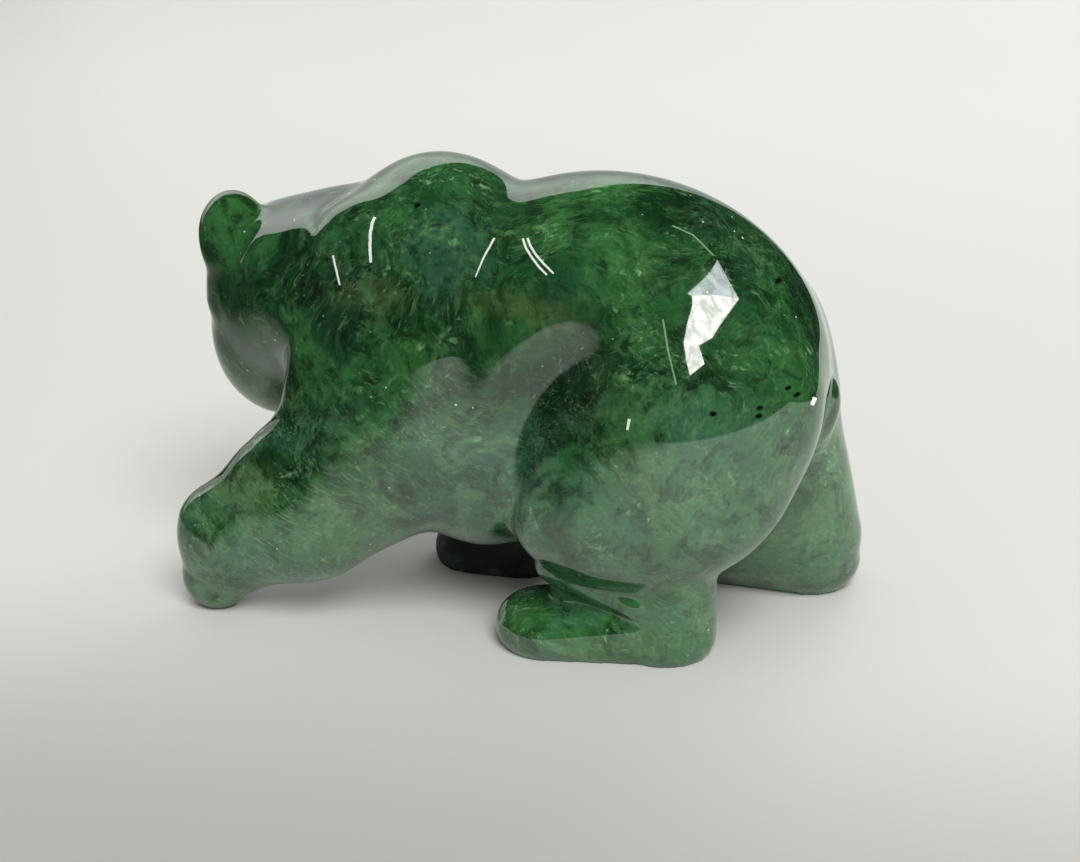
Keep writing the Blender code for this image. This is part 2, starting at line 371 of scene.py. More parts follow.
cameraView = {
    "turn": 13,              # degrees from straight in front, towards the bear's tail
    "tilt": 21,
    "distance": 0.25304,
    "aim": (0.00374, -0.00311, 0.02672),
    "focal": 1750,           # pixels of the photo
    "picture": (1080, 862),  # pixels across and down
    "clearWay": 0.172,       # metres in front of the camera that hold no stone
    "steps": 40,             # of a look from there to the skin
    "stride": 0.7,           # part of the free way that each step takes
}


def viewWays():
    # the ways that are right, up and back in the photo
    turn, tilt = math.radians(cameraView["turn"]), math.radians(cameraView["tilt"])
    right = np.array([math.cos(turn), math.sin(turn), 0.0])
    back = np.array([math.sin(turn) * math.cos(tilt), -math.cos(turn) * math.cos(tilt), math.sin(tilt)])
    return right, np.cross(back, right), back


def photoCamera():
    back = Vector(viewWays()[2])
    lens = bpy.data.cameras.new("camera")
    lens.sensor_width = 36
    lens.lens = cameraView["focal"] * lens.sensor_width / cameraView["picture"][0]
    lens.clip_start = 0.005
    camera = bpy.data.objects.new("camera", lens)
    bpy.context.scene.collection.objects.link(camera)
    camera.location = Vector(cameraView["aim"]) + back * cameraView["distance"]
    camera.rotation_euler = back.to_track_quat("Z", "Y").to_euler()
    bpy.context.scene.camera = camera


def seenInPhoto(pixels, offset):
    # where the skin shows at some pixels of the photo, and which way its polish mirrors the look
    right, up, back = viewWays()
    across, down = (np.array(pixels, float) - np.array(cameraView["picture"]) / 2).T / cameraView["focal"]
    looks = across[:, None] * right - down[:, None] * up - back
    looks /= np.linalg.norm(looks, axis=1)[:, None]
    camera = np.array(cameraView["aim"]) + cameraView["distance"] * back
    points = (camera + cameraView["clearWay"] * looks - offset) / share
    for _ in range(cameraView["steps"]):
        points = points + cameraView["stride"] * bearSkin(points)[:, None] * looks
    outward = slopeOf(bearSkin, points)
    outward /= np.linalg.norm(outward, axis=1)[:, None]
    mirrored = looks - 2 * (looks * outward).sum(axis=1)[:, None] * outward
    return points * share + offset, mirrored


# Shader helpers

def addNode(tree, kind, settings=None, values=None):
    made = tree.nodes.new(kind)
    for name, value in (settings or {}).items():
        setattr(made, name, value)
    for name, value in (values or {}).items():
        socket = made.inputs[name]
        if isinstance(value, bpy.types.NodeSocket):
            tree.links.new(value, socket)
        else:
            socket.default_value = value
    return made


def noise(tree, vector, scale, detail=3.0, rough=0.5, twist=0.0):
    made = addNode(tree, "ShaderNodeTexNoise", None, {
        "Vector": vector, "Scale": scale, "Detail": detail, "Roughness": rough, "Distortion": twist})
    return made.outputs["Fac"]


def fade(tree, value, low, high, bottom=0.0, top=1.0):
    made = addNode(tree, "ShaderNodeMapRange", {"interpolation_type": "SMOOTHSTEP"}, {
        "Value": value, "From Min": low, "From Max": high, "To Min": bottom, "To Max": top})
    return made.outputs["Result"]


def sums(tree, operation, first, second=0.5, clamped=False):
    made = tree.nodes.new("ShaderNodeMath")
    made.operation = operation
    made.use_clamp = clamped
    for socket, value in zip(made.inputs, (first, second)):
        if isinstance(value, bpy.types.NodeSocket):
            tree.links.new(value, socket)
        else:
            socket.default_value = value
    return made.outputs[0]


def vectorSums(tree, operation, first, second):
    made = tree.nodes.new("ShaderNodeVectorMath")
    made.operation = operation
    for socket, value in zip(made.inputs, (first, second)):
        if isinstance(value, bpy.types.NodeSocket):
            tree.links.new(value, socket)
        else:
            socket.default_value = value
    return made.outputs["Value" if operation in ("LENGTH", "DOT_PRODUCT") else "Vector"]


def blended(tree, amount, under, over, way="MIX"):
    made = addNode(tree, "ShaderNodeMix", {"data_type": "RGBA", "blend_type": way})
    for socket, value in ((made.inputs[0], amount), (made.inputs[6], under), (made.inputs[7], over)):
        if isinstance(value, bpy.types.NodeSocket):
            tree.links.new(value, socket)
        else:
            socket.default_value = value
    return made.outputs[2]


def dimmed(tree, colour, left):
    # a colour times the part of it that is left
    grey = addNode(tree, "ShaderNodeCombineColor", None, {"Red": left, "Green": left, "Blue": left})
    return blended(tree, 1.0, colour, grey.outputs["Color"], "MULTIPLY")


def newGroup(name, inputs, outputs):
    group = bpy.data.node_groups.new(name, "ShaderNodeTree")
    for label, kind, value in inputs:
        socket = group.interface.new_socket(label, in_out="INPUT", socket_type=kind)
        if value is not None:
            socket.default_value = value
    for label, kind in outputs:
        group.interface.new_socket(label, in_out="OUTPUT", socket_type=kind)
    entry = group.nodes.new("NodeGroupInput")
    leaving = group.nodes.new("NodeGroupOutput")
    return group, entry.outputs, leaving.inputs


def place(tree, group, values):
    return addNode(tree, "ShaderNodeGroup", {"node_tree": group}, values).outputs


# each noise is scale, detail, roughness and twist, and the patches take their scale from their size
fibreGrain = {
    "hairNoise": (1.0, 2.0, 0.55, 0.15),
    "hairEdges": (0.50, 0.74),
    "patchStretch": (0.5, 1.0, 1.0),
    "patchNoise": (4.0, 0.66, 0.6),
    "patchEdges": (-0.08, 0.10),     # beside the part that isn't covered
    "wispStretch": (0.6, 0.26, 0.26),
    "wispNoise": (1.0, 5.0, 0.68, 0.5),
    "wispEdges": (0.48, 0.70),
}


def jadeFibres():
    # nephrite fibres that run one way: fine hairs in tufts over broad frayed wisps
    group, given, out = newGroup("jadeFibres", [
        ("Vector", "NodeSocketVector", None),
        ("Turn", "NodeSocketVector", (0, 0, 0)),
        ("Length", "NodeSocketFloat", 0.006),
        ("Width", "NodeSocketFloat", 0.0006),
        ("Patch Size", "NodeSocketFloat", 0.012),
        ("Cover", "NodeSocketFloat", 0.5),
    ], [("Hairs", "NodeSocketFloat"), ("Wisps", "NodeSocketFloat")])
    stretch = addNode(group, "ShaderNodeCombineXYZ", None, {
        "X": sums(group, "DIVIDE", 1.0, given["Length"]),
        "Y": sums(group, "DIVIDE", 1.0, given["Width"]),
        "Z": sums(group, "DIVIDE", 1.0, given["Width"])}).outputs[0]
    turned = addNode(group, "ShaderNodeVectorRotate", {"rotation_type": "EULER_XYZ"}, {
        "Vector": given["Vector"], "Rotation": given["Turn"]}).outputs[0]
    drawn = vectorSums(group, "MULTIPLY", turned, stretch)
    hairs = fade(group, noise(group, drawn, *fibreGrain["hairNoise"]), *fibreGrain["hairEdges"])
    patchPlace = vectorSums(group, "MULTIPLY", turned, fibreGrain["patchStretch"])
    patchScale = sums(group, "DIVIDE", 1.0, given["Patch Size"])
    patches = noise(group, patchPlace, patchScale, *fibreGrain["patchNoise"])
    bare = sums(group, "SUBTRACT", 1.0, given["Cover"])
    patches = fade(group, patches, *[sums(group, "ADD", bare, way) for way in fibreGrain["patchEdges"]])
    group.links.new(sums(group, "MULTIPLY", hairs, patches), out["Hairs"])
    broad = vectorSums(group, "MULTIPLY", drawn, fibreGrain["wispStretch"])
    wisps = fade(group, noise(group, broad, *fibreGrain["wispNoise"]), *fibreGrain["wispEdges"])
    group.links.new(wisps, out["Wisps"])
    return group


cloudEdge = {
    "noise": (180.0, 4.0, 0.6),
    "spread": 4.0,           # how far the noise moves the edge, times the raggedness
    "whole": 0.35,           # part of the reach where the cloud keeps its full strength
}


def jadeCloud():
    # soft cloud with a ragged edge around one place in the stone
    group, given, out = newGroup("jadeCloud", [
        ("Vector", "NodeSocketVector", None),
        ("Centre", "NodeSocketVector", (0, 0, 0)),
        ("Reach", "NodeSocketVector", (0.01, 0.01, 0.01)),
        ("Raggedness", "NodeSocketFloat", 0.35),
    ], [("Strength", "NodeSocketFloat")])
    away = vectorSums(group, "DIVIDE", vectorSums(group, "SUBTRACT", given["Vector"], given["Centre"]),
                      given["Reach"])
    far = vectorSums(group, "LENGTH", away, (0, 0, 0))
    ragged = sums(group, "SUBTRACT", noise(group, given["Vector"], *cloudEdge["noise"]), 0.5)
    spread = sums(group, "MULTIPLY", given["Raggedness"], cloudEdge["spread"])
    far = sums(group, "ADD", far, sums(group, "MULTIPLY", ragged, spread))
    group.links.new(fade(group, far, cloudEdge["whole"], 1.0, 1.0, 0.0), out["Strength"])
    return group


def jadeSpecks():
    # small specks scattered over the stone, for the polish pits and their painted glint
    group, given, out = newGroup("jadeSpecks", [
        ("Vector", "NodeSocketVector", None),
        ("Spacing", "NodeSocketFloat", 0.002),
        ("Radius", "NodeSocketFloat", 0.0002),
        ("Share Kept", "NodeSocketFloat", 0.5),
    ], [("Strength", "NodeSocketFloat")])
    cells = addNode(group, "ShaderNodeTexVoronoi", None, {
        "Vector": given["Vector"], "Scale": sums(group, "DIVIDE", 1.0, given["Spacing"]),
        "Randomness": 1.0})
    chance = addNode(group, "ShaderNodeSeparateColor", None, {"Color": cells.outputs["Color"]})
    size = sums(group, "DIVIDE", given["Radius"], given["Spacing"])
    size = sums(group, "MULTIPLY", size, sums(group, "ADD", chance.outputs[1], 0.4))
    grain = fade(group, cells.outputs["Distance"], sums(group, "MULTIPLY", size, 0.6), size, 1.0, 0.0)
    kept = sums(group, "LESS_THAN", chance.outputs[0], given["Share Kept"])
    group.links.new(sums(group, "MULTIPLY", grain, kept), out["Strength"])
    return group


def fineScratch():
    # hairline between two places on the skin
    group, given, out = newGroup("fineScratch", [
        ("Vector", "NodeSocketVector", None),
        ("Start", "NodeSocketVector", (0, 0, 0)),
        ("End", "NodeSocketVector", (0.01, 0, 0)),
        ("Width", "NodeSocketFloat", 0.0001),
    ], [("Strength", "NodeSocketFloat")])
    line = vectorSums(group, "SUBTRACT", given["End"], given["Start"])
    offset = vectorSums(group, "SUBTRACT", given["Vector"], given["Start"])
    reached = vectorSums(group, "DOT_PRODUCT", offset, line)
    part = sums(group, "DIVIDE", reached, vectorSums(group, "DOT_PRODUCT", line, line), True)
    spread = addNode(group, "ShaderNodeCombineXYZ", None, {"X": part, "Y": part, "Z": part}).outputs[0]
    nearest = vectorSums(group, "MULTIPLY", line, spread)
    away = vectorSums(group, "LENGTH", vectorSums(group, "SUBTRACT", offset, nearest), (0, 0, 0))
    edge = sums(group, "MULTIPLY", given["Width"], 0.4)
    group.links.new(fade(group, away, edge, given["Width"], 1.0, 0.0), out["Strength"])
    return group


jadeLook = {
    "deepGreen": tint(9, 36, 15),
    "bodyGreen": tint(20, 60, 28),
    "leafGreen": tint(44, 92, 45),
    "mossGreen": tint(76, 120, 72),
    "fibreGreen": tint(98, 146, 94),
    "fleckGreen": tint(118, 164, 110),
    "mistGreen": tint(56, 98, 80),
    "milkGreen": tint(100, 136, 98),
    "scratch": tint(128, 164, 128),
    "olive": tint(70, 80, 42),
    "inkGreen": tint(7, 26, 14),
    # black is painted shade for the far front foot
    "black": tint(3, 6, 4),
    # the pale pit colour is a painted glint
    "paintedPitGlint": tint(225, 232, 215),
    "iron": tint(8, 10, 7),
    "refraction": 1.62,
    "mirror": 0.75,
    "polish": 0.03,
    "glow": 0.10,
    "glowDepth": 0.0020,
    "glowReach": (0.35, 1.0, 0.45),
    "swayScale": 60.0,       # the bends that run through clouds and fibres
    "swayWay": 0.010,        # metres
    "depthNoise": (90.0, 6.0, 0.62, 0.7),
    "depthStops": (0.36, 0.50, 0.66),        # of the deep, body and leaf greens
    "lowDown": (0.026, 0.040),       # heights between which the palest stone, partly painted light from the floor, ends
    "hazeLow": 0.30,         # added below those heights
    "hazeAll": 0.08,         # from top to bottom
    "milk": 0.36,
    "mottles": 0.50,
    "fleckStretch": (0.7, 1.0, 1.0),
    "flecks": 0.60,
    "pitsAndGlints": 0.80,
    "pitSpacing": 0.0019,
    "pitRadius": 0.00015,
    "pitShare": 0.45,
    "pitRoughness": 0.25,
    "shadedFootRoughness": 0.9,
}

# layers of noise: shift in the stone, then scale, detail, roughness and twist, then the edges of
# the fade with what it gives below and above them
stoneLayers = {
    "haze": {"shift": (0.3, 0.9, 0.1), "noise": (85.0, 5.0, 0.62, 0.6), "fade": (0.45, 0.56)},
    "milk": {"shift": (0.8, 0.4, 0.6), "noise": (120.0, 5.0, 0.66, 0.8), "fade": (0.50, 0.62)},
    "shadows": {"noise": (240.0, 5.0, 0.66, 0.9), "fade": (0.46, 0.66, 1.0, 0.34)},
    "mottles": {"shift": (0.7, 0.2, 0.4), "noise": (330.0, 6.0, 0.68, 0.9), "fade": (0.50, 0.66)},
    "mottleBeds": {"noise": (95.0, 3.0, 0.6), "fade": (0.40, 0.62)},
    "flecks": {"noise": (800.0, 5.0, 0.7, 0.6), "fade": (0.54, 0.66)},
    "fleckBeds": {"noise": (150.0, 4.0, 0.66), "fade": (0.50, 0.64)},
    "grain": {"noise": (1700.0, 3.0, 0.7), "fade": (0.25, 0.75, 0.80, 1.20)},
    "pitBeds": {"noise": (110.0, 2.0), "fade": (0.40, 0.60)},
    "wear": {"noise": (260.0, 3.0), "fade": (0.35, 0.75, 0.0, 0.02)},
}

# fibres: turn in degrees about X, Y and Z, length, width, patch size and cover, where they lie, and
# how strongly hairs and wisps show
fibreFamilies = [
    {"turn": (0, -38, 0), "length": 0.0046, "width": 0.00040, "patch": 0.0060, "cover": 0.54,
     "centre": (-0.028, -0.01, 0.020), "reach": (0.026, 0.05, 0.026), "hairs": 0.54, "wisps": 0.36},
    {"turn": (0, 66, 0), "length": 0.0030, "width": 0.00042, "patch": 0.0048, "cover": 0.52,
     "centre": (-0.016, -0.01, 0.052), "reach": (0.018, 0.05, 0.018), "hairs": 0.34, "wisps": 0.30},
    {"turn": (0, -30, 0), "length": 0.0050, "width": 0.00034, "patch": 0.0060, "cover": 0.54,
     "centre": (-0.001, -0.01, 0.030), "reach": (0.020, 0.05, 0.018), "hairs": 0.38, "wisps": 0.34},
    {"turn": (0, -62, 0), "length": 0.0052, "width": 0.00040, "patch": 0.0060, "cover": 0.54,
     "centre": (0.022, -0.01, 0.038), "reach": (0.014, 0.05, 0.022), "hairs": 0.36, "wisps": 0.38},
    {"turn": (0, 60, 0), "length": 0.0034, "width": 0.00044, "patch": 0.0050, "cover": 0.54,
     "centre": (0.038, -0.01, 0.034), "reach": (0.020, 0.05, 0.026), "hairs": 0.30, "wisps": 0.36},
    {"turn": (0, 6, 0), "length": 0.0040, "width": 0.00040, "patch": 0.0050, "cover": 0.50,
     "centre": (0.016, 0.0, 0.060), "reach": (0.036, 0.05, 0.018), "hairs": 0.30, "wisps": 0.30},
    {"turn": (0, -24, 0), "length": 0.0036, "width": 0.00044, "patch": 0.0050, "cover": 0.54,
     "centre": (0.022, -0.01, 0.006), "reach": (0.042, 0.05, 0.016), "hairs": 0.24, "wisps": 0.32},
]

# clouds: colour, centre, reach and amount. The ink green ones stay where they are put, and the
# others sway with the stone.
stoneClouds = [
    ("mossGreen", (-0.0270, -0.0220, 0.0130), (0.024, 0.016, 0.014), 0.44),
    ("leafGreen", (0.0220, -0.0180, 0.0540), (0.012, 0.012, 0.009), 0.35),
    ("mossGreen", (0.0280, -0.0250, 0.0240), (0.022, 0.016, 0.020), 0.55),
    ("leafGreen", (0.0180, -0.0240, 0.0050), (0.026, 0.016, 0.009), 0.85),
    ("mossGreen", (0.0420, 0.0040, 0.0120), (0.016, 0.020, 0.022), 0.55),
    ("mistGreen", (0.0000, -0.0200, 0.0280), (0.018, 0.014, 0.014), 0.36),
    ("mistGreen", (0.0170, -0.0260, 0.0220), (0.008, 0.012, 0.010), 0.36),
    ("mistGreen", (-0.0050, -0.0190, 0.0560), (0.008, 0.010, 0.009), 0.30),
    ("mistGreen", (0.0330, -0.0240, 0.0350), (0.012, 0.012, 0.008), 0.40),
    ("leafGreen", (0.0380, -0.0200, 0.0430), (0.011, 0.014, 0.012), 0.45),
    # the next leaf green cloud is painted light, the glow of light through the thin near ear
    ("leafGreen", (-0.0415, -0.0080, 0.0545), (0.009, 0.010, 0.009), 0.95),
    ("mistGreen", (0.0340, -0.0250, 0.0180), (0.009, 0.012, 0.006), 0.55),
    ("mistGreen", (-0.0330, -0.0220, 0.0090), (0.008, 0.012, 0.006), 0.50),
    ("bodyGreen", (0.0230, -0.0260, 0.0260), (0.007, 0.012, 0.006), 0.60),
    ("bodyGreen", (0.0440, -0.0020, 0.0160), (0.007, 0.014, 0.007), 0.65),
    ("olive", (-0.0165, -0.0205, 0.0505), (0.008, 0.010, 0.0035), 0.45),
    ("olive", (0.0050, -0.0210, 0.0498), (0.0125, 0.010, 0.0020), 0.50),
    ("olive", (-0.0350, -0.0220, 0.0240), (0.010, 0.010, 0.005), 0.30),
    ("olive", (0.0150, -0.0220, 0.0420), (0.004, 0.010, 0.010), 0.12),
    ("inkGreen", (-0.0010, -0.0180, 0.0480), (0.006, 0.012, 0.012), 0.45),
    ("inkGreen", (-0.0185, -0.0215, 0.0520), (0.010, 0.012, 0.012), 0.42),
    # the next three ink green clouds are painted shade in the crease between the flank and the near thigh
    ("inkGreen", (0.0126, -0.0202, 0.0405), (0.0038, 0.012, 0.0080), 0.95),
    ("inkGreen", (0.0092, -0.0205, 0.0340), (0.0036, 0.012, 0.0070), 0.90),
    ("inkGreen", (0.0062, -0.0200, 0.0275), (0.0026, 0.012, 0.0060), 0.75),
]

# painted shade: the far front foot is painted near black where it stands in the shadow under the belly,
# and made rough
shadedFootPaint = {"centre": (-0.0060, 0.0090, 0.0040), "reach": (0.022, 0.020, 0.018), "amount": 0.97}

# black grains that show singly, at these pixels of the photo
ironGrains = {
    "pixels": [(417.4, 205.3), (778.6, 280.5), (788, 388), (797, 394.7), (760, 408), (759, 416),
               (713, 414), (786, 447)],
    "reach": (0.00065, 0.0020, 0.00045),
    "raggedness": 0.12,
}

# hairlines in the polish, from pixel to pixel of the photo
scratches = {
    "lines": [[(673, 226), (693, 235), (713, 255)], [(663, 320), (668, 350), (676, 384)]],
    "width": 0.00016,
    "amount": 0.7,
}


def stoneLayer(tree, vector, name):
    layer = stoneLayers[name]
    if "shift" in layer:
        vector = vectorSums(tree, "ADD", vector, layer["shift"])
    return fade(tree, noise(tree, vector, *layer["noise"]), *layer["fade"])


def jadeStone(offset):
    material = bpy.data.materials.new("polishedJade")
    material.use_nodes = True
    tree = material.node_tree
    stone = tree.nodes["Principled BSDF"]
    where = addNode(tree, "ShaderNodeTexCoord").outputs["Object"]
    fibres, cloud, specks, scratch = jadeFibres(), jadeCloud(), jadeSpecks(), fineScratch()

    sway = addNode(tree, "ShaderNodeTexNoise", None, {
        "Vector": where, "Scale": jadeLook["swayScale"], "Detail": 3.0})
    sway = vectorSums(tree, "SUBTRACT", sway.outputs["Color"], (0.5, 0.5, 0.5))
    sway = vectorSums(tree, "MULTIPLY", sway, [jadeLook["swayWay"]] * 3)
    bent = vectorSums(tree, "ADD", where, sway)

    ramp = addNode(tree, "ShaderNodeValToRGB", None, {"Fac": noise(tree, bent, *jadeLook["depthNoise"])})
    stops = ramp.color_ramp.elements
    stops[0].position, middle, stops[1].position = jadeLook["depthStops"]
    stops[0].color = jadeLook["deepGreen"]
    stops[1].color = jadeLook["leafGreen"]
    stops.new(middle).color = jadeLook["bodyGreen"]
    colour = ramp.outputs["Color"]

    for shade, centre, reach, amount in stoneClouds:
        strength = place(tree, cloud, {"Vector": where if shade == "inkGreen" else bent,
                                       "Centre": centre, "Reach": reach})["Strength"]
        colour = blended(tree, sums(tree, "MULTIPLY", strength, amount), colour, jadeLook[shade])

    # paler stone, most of it low on the body, where the paleness is partly painted light from the floor
    # below shining into the stone
    height = addNode(tree, "ShaderNodeSeparateXYZ", None, {"Vector": where}).outputs["Z"]
    lowDown = fade(tree, height, *jadeLook["lowDown"], 1.0, 0.0)
    amount = sums(tree, "ADD", sums(tree, "MULTIPLY", lowDown, jadeLook["hazeLow"]), jadeLook["hazeAll"])
    haze = sums(tree, "MULTIPLY", stoneLayer(tree, bent, "haze"), amount)
    colour = blended(tree, haze, colour, jadeLook["mistGreen"])
    milk = sums(tree, "MULTIPLY", stoneLayer(tree, bent, "milk"), lowDown)
    colour = blended(tree, sums(tree, "MULTIPLY", milk, jadeLook["milk"]), colour, jadeLook["milkGreen"])
    colour = dimmed(tree, colour, stoneLayer(tree, bent, "shadows"))
    beds = stoneLayer(tree, where, "mottleBeds")
    mottles = sums(tree, "MULTIPLY", stoneLayer(tree, bent, "mottles"), beds)
    mottles = sums(tree, "MULTIPLY", mottles, jadeLook["mottles"])
    colour = blended(tree, mottles, colour, jadeLook["mossGreen"])

    for family in fibreFamilies:
        drawn = place(tree, fibres, {
            "Vector": bent, "Turn": [math.radians(angle) for angle in family["turn"]],
            "Length": family["length"], "Width": family["width"], "Patch Size": family["patch"],
            "Cover": family["cover"]})
        region = place(tree, cloud, {"Vector": where, "Centre": family["centre"],
                                     "Reach": family["reach"]})["Strength"]
        for kind, shade in (("wisps", "mossGreen"), ("hairs", "fibreGreen")):
            strength = sums(tree, "MULTIPLY", drawn[kind.capitalize()], region)
            strength = sums(tree, "MULTIPLY", strength, family[kind])
            colour = blended(tree, strength, colour, jadeLook[shade])

    stretched = vectorSums(tree, "MULTIPLY", bent, jadeLook["fleckStretch"])
    beds = stoneLayer(tree, where, "fleckBeds")
    flecks = sums(tree, "MULTIPLY", stoneLayer(tree, stretched, "flecks"), beds)
    flecks = sums(tree, "MULTIPLY", flecks, jadeLook["flecks"])
    colour = blended(tree, flecks, colour, jadeLook["fleckGreen"])
    colour = dimmed(tree, colour, stoneLayer(tree, where, "grain"))

    # polish pits: rougher, and painted pale as a painted glint
    pitsAndGlints = place(tree, specks, {"Vector": where, "Spacing": jadeLook["pitSpacing"],
                                "Radius": jadeLook["pitRadius"],
                                "Share Kept": jadeLook["pitShare"]})["Strength"]
    pitsAndGlints = sums(tree, "MULTIPLY", pitsAndGlints, stoneLayer(tree, where, "pitBeds"))
    colour = blended(tree, sums(tree, "MULTIPLY", pitsAndGlints, jadeLook["pitsAndGlints"]), colour, jadeLook["paintedPitGlint"])

    for spot in seenInPhoto(ironGrains["pixels"], offset)[0]:
        strength = place(tree, cloud, {"Vector": where, "Centre": spot, "Reach": ironGrains["reach"],
                                       "Raggedness": ironGrains["raggedness"]})["Strength"]
        colour = blended(tree, strength, colour, jadeLook["iron"])

    # paints the far front foot near black as shade, and roughens it
    black = place(tree, cloud, {"Vector": where, "Centre": shadedFootPaint["centre"],
                                "Reach": shadedFootPaint["reach"]})["Strength"]
    black = sums(tree, "MULTIPLY", black, shadedFootPaint["amount"])
    colour = blended(tree, black, colour, jadeLook["black"])

    for line in scratches["lines"]:
        spots = seenInPhoto(line, offset)[0]
        for start, end in zip(spots, spots[1:]):
            strength = place(tree, scratch, {"Vector": where, "Start": start, "End": end,
                                             "Width": scratches["width"]})["Strength"]
            strength = sums(tree, "MULTIPLY", strength, scratches["amount"])
            colour = blended(tree, strength, colour, jadeLook["scratch"])

    rough = sums(tree, "ADD", stoneLayer(tree, where, "wear"), jadeLook["polish"])
    rough = sums(tree, "ADD", rough, sums(tree, "MULTIPLY", pitsAndGlints, jadeLook["pitRoughness"]))
    rough = sums(tree, "ADD", rough, sums(tree, "MULTIPLY", black, jadeLook["shadedFootRoughness"]))

    tree.links.new(colour, stone.inputs["Base Color"])
    tree.links.new(rough, stone.inputs["Roughness"])
    stone.inputs["Metallic"].default_value = 0.0
    stone.inputs["IOR"].default_value = jadeLook["refraction"]
    stone.inputs["Specular IOR Level"].default_value = jadeLook["mirror"]
    stone.inputs["Subsurface Weight"].default_value = jadeLook["glow"]
    stone.inputs["Subsurface Radius"].default_value = jadeLook["glowReach"]
    stone.inputs["Subsurface Scale"].default_value = jadeLook["glowDepth"]
    return material


# Studio

studio = {
    "floorReach": 6.0,       # metres
    "floorColour": tint(209, 209, 206),
    # painted shade, where it darkens towards the front: from, to and what is left
    "floorShades": [(-0.09, 0.0, 0.62), (0.0, 0.45, 0.86)],
    "floorWay": (0.0, 1.0, 0.0),
    "floorGloss": 0.45,
    "floorMirror": 0.2,
    # the part of the table that the polish mirrors, with its slanting left edge
    "table": [(1.2, -0.25), (0.40, 0.02), (0.20, 0.10), (0.22, 0.75), (-0.60, 0.75), (-0.17, 0.05),
              (-0.13, -0.06), (-0.09, -0.16), (-0.05, -0.25)],
    "tableColour": tint(200, 208, 199),
    "tableShades": [(-0.135, -0.03, 0.03)],   # painted shade, the same along a slant at its left edge
    "tableWay": (0.9, 0.45, 0.0),
    "tableHeight": 0.0001,   # just above the floor
    "screenAway": 0.75,
    "screenGlow": (0.22, 0.60, 0.60, 1.55),  # low and high edge of the fade, glow below and above
    "screenOutline": [(-2.2, 0.0), (0.22, 0.0), (0.12, 0.10), (0.08, 0.29), (0.02, 0.48), (-0.09, 0.70),
                      (-0.22, 0.92), (-0.36, 1.08), (-0.8, 1.15), (-1.2, 1.35), (-2.2, 1.2)],
    "roomDark": {"Color": (0.75, 0.8, 0.8, 1), "Strength": 0.03},
    "roomPale": {"Color": tint(236, 236, 232), "Strength": 0.76},
}

softLamps = [
    {"name": "windowSide", "location": (0.90, -1.50, 2.10), "size": 1.6, "power": 296.0,
     "colour": (1.0, 0.99, 0.98)},
    {"name": "backRoom", "location": (0.35, 1.30, 0.90), "size": 0.9, "power": 24.0, "colour": (1, 1, 1)},
]

# the window as it shows in the polish, in pixels of the photo
windowShape = {
    "glass": [(738.8, 298.8), (732.5, 307.5), (720, 325), (712.5, 337.5), (698.8, 345.5),
              (704.5, 363.8), (690, 375.5), (686, 360), (683.8, 342.5), (687.5, 322.5), (692.5, 305)],
    "bar": [(692, 296), (712, 294.5)],
    "sky": [(687.5, 293.8), (700, 282.5), (710, 272.5), (717.5, 260)],
    "cornerStep": 9,
    "streaks": 0.35,         # how much of the glow a streak takes away
    "streakStretch": (1.0, 0.5, 0.5),
    "streakNoise": (320.0, 4.0, 0.6, 0.8),
    "streakEdges": (0.40, 0.58),
}


def closeSet(outline):
    # the same outline with more corners
    outline = np.array(outline, float)
    corners = []
    for start, end in zip(outline, np.roll(outline, -1, axis=0)):
        count = max(1, int(round(np.linalg.norm(end - start) / windowShape["cornerStep"])))
        corners += [start + (end - start) * k / count for k in range(count)]
    return corners


def edgesOf(line, widths):
    # both edges of a stroke that runs along a line
    line = np.array(line, float)
    along = np.gradient(line, axis=0)
    across = np.stack([-along[:, 1], along[:, 0]], axis=1) / np.linalg.norm(along, axis=1)[:, None]
    across *= np.array(widths)[:, None] / 2
    return np.concatenate([line - across, (line + across)[::-1]])


wholeWindow = closeSet(windowShape["glass"] + windowShape["sky"])
tubePair = [(525, 238), (534, 256), (550, 274)]
tubeColour = (1.0, 0.97, 0.93, 1)

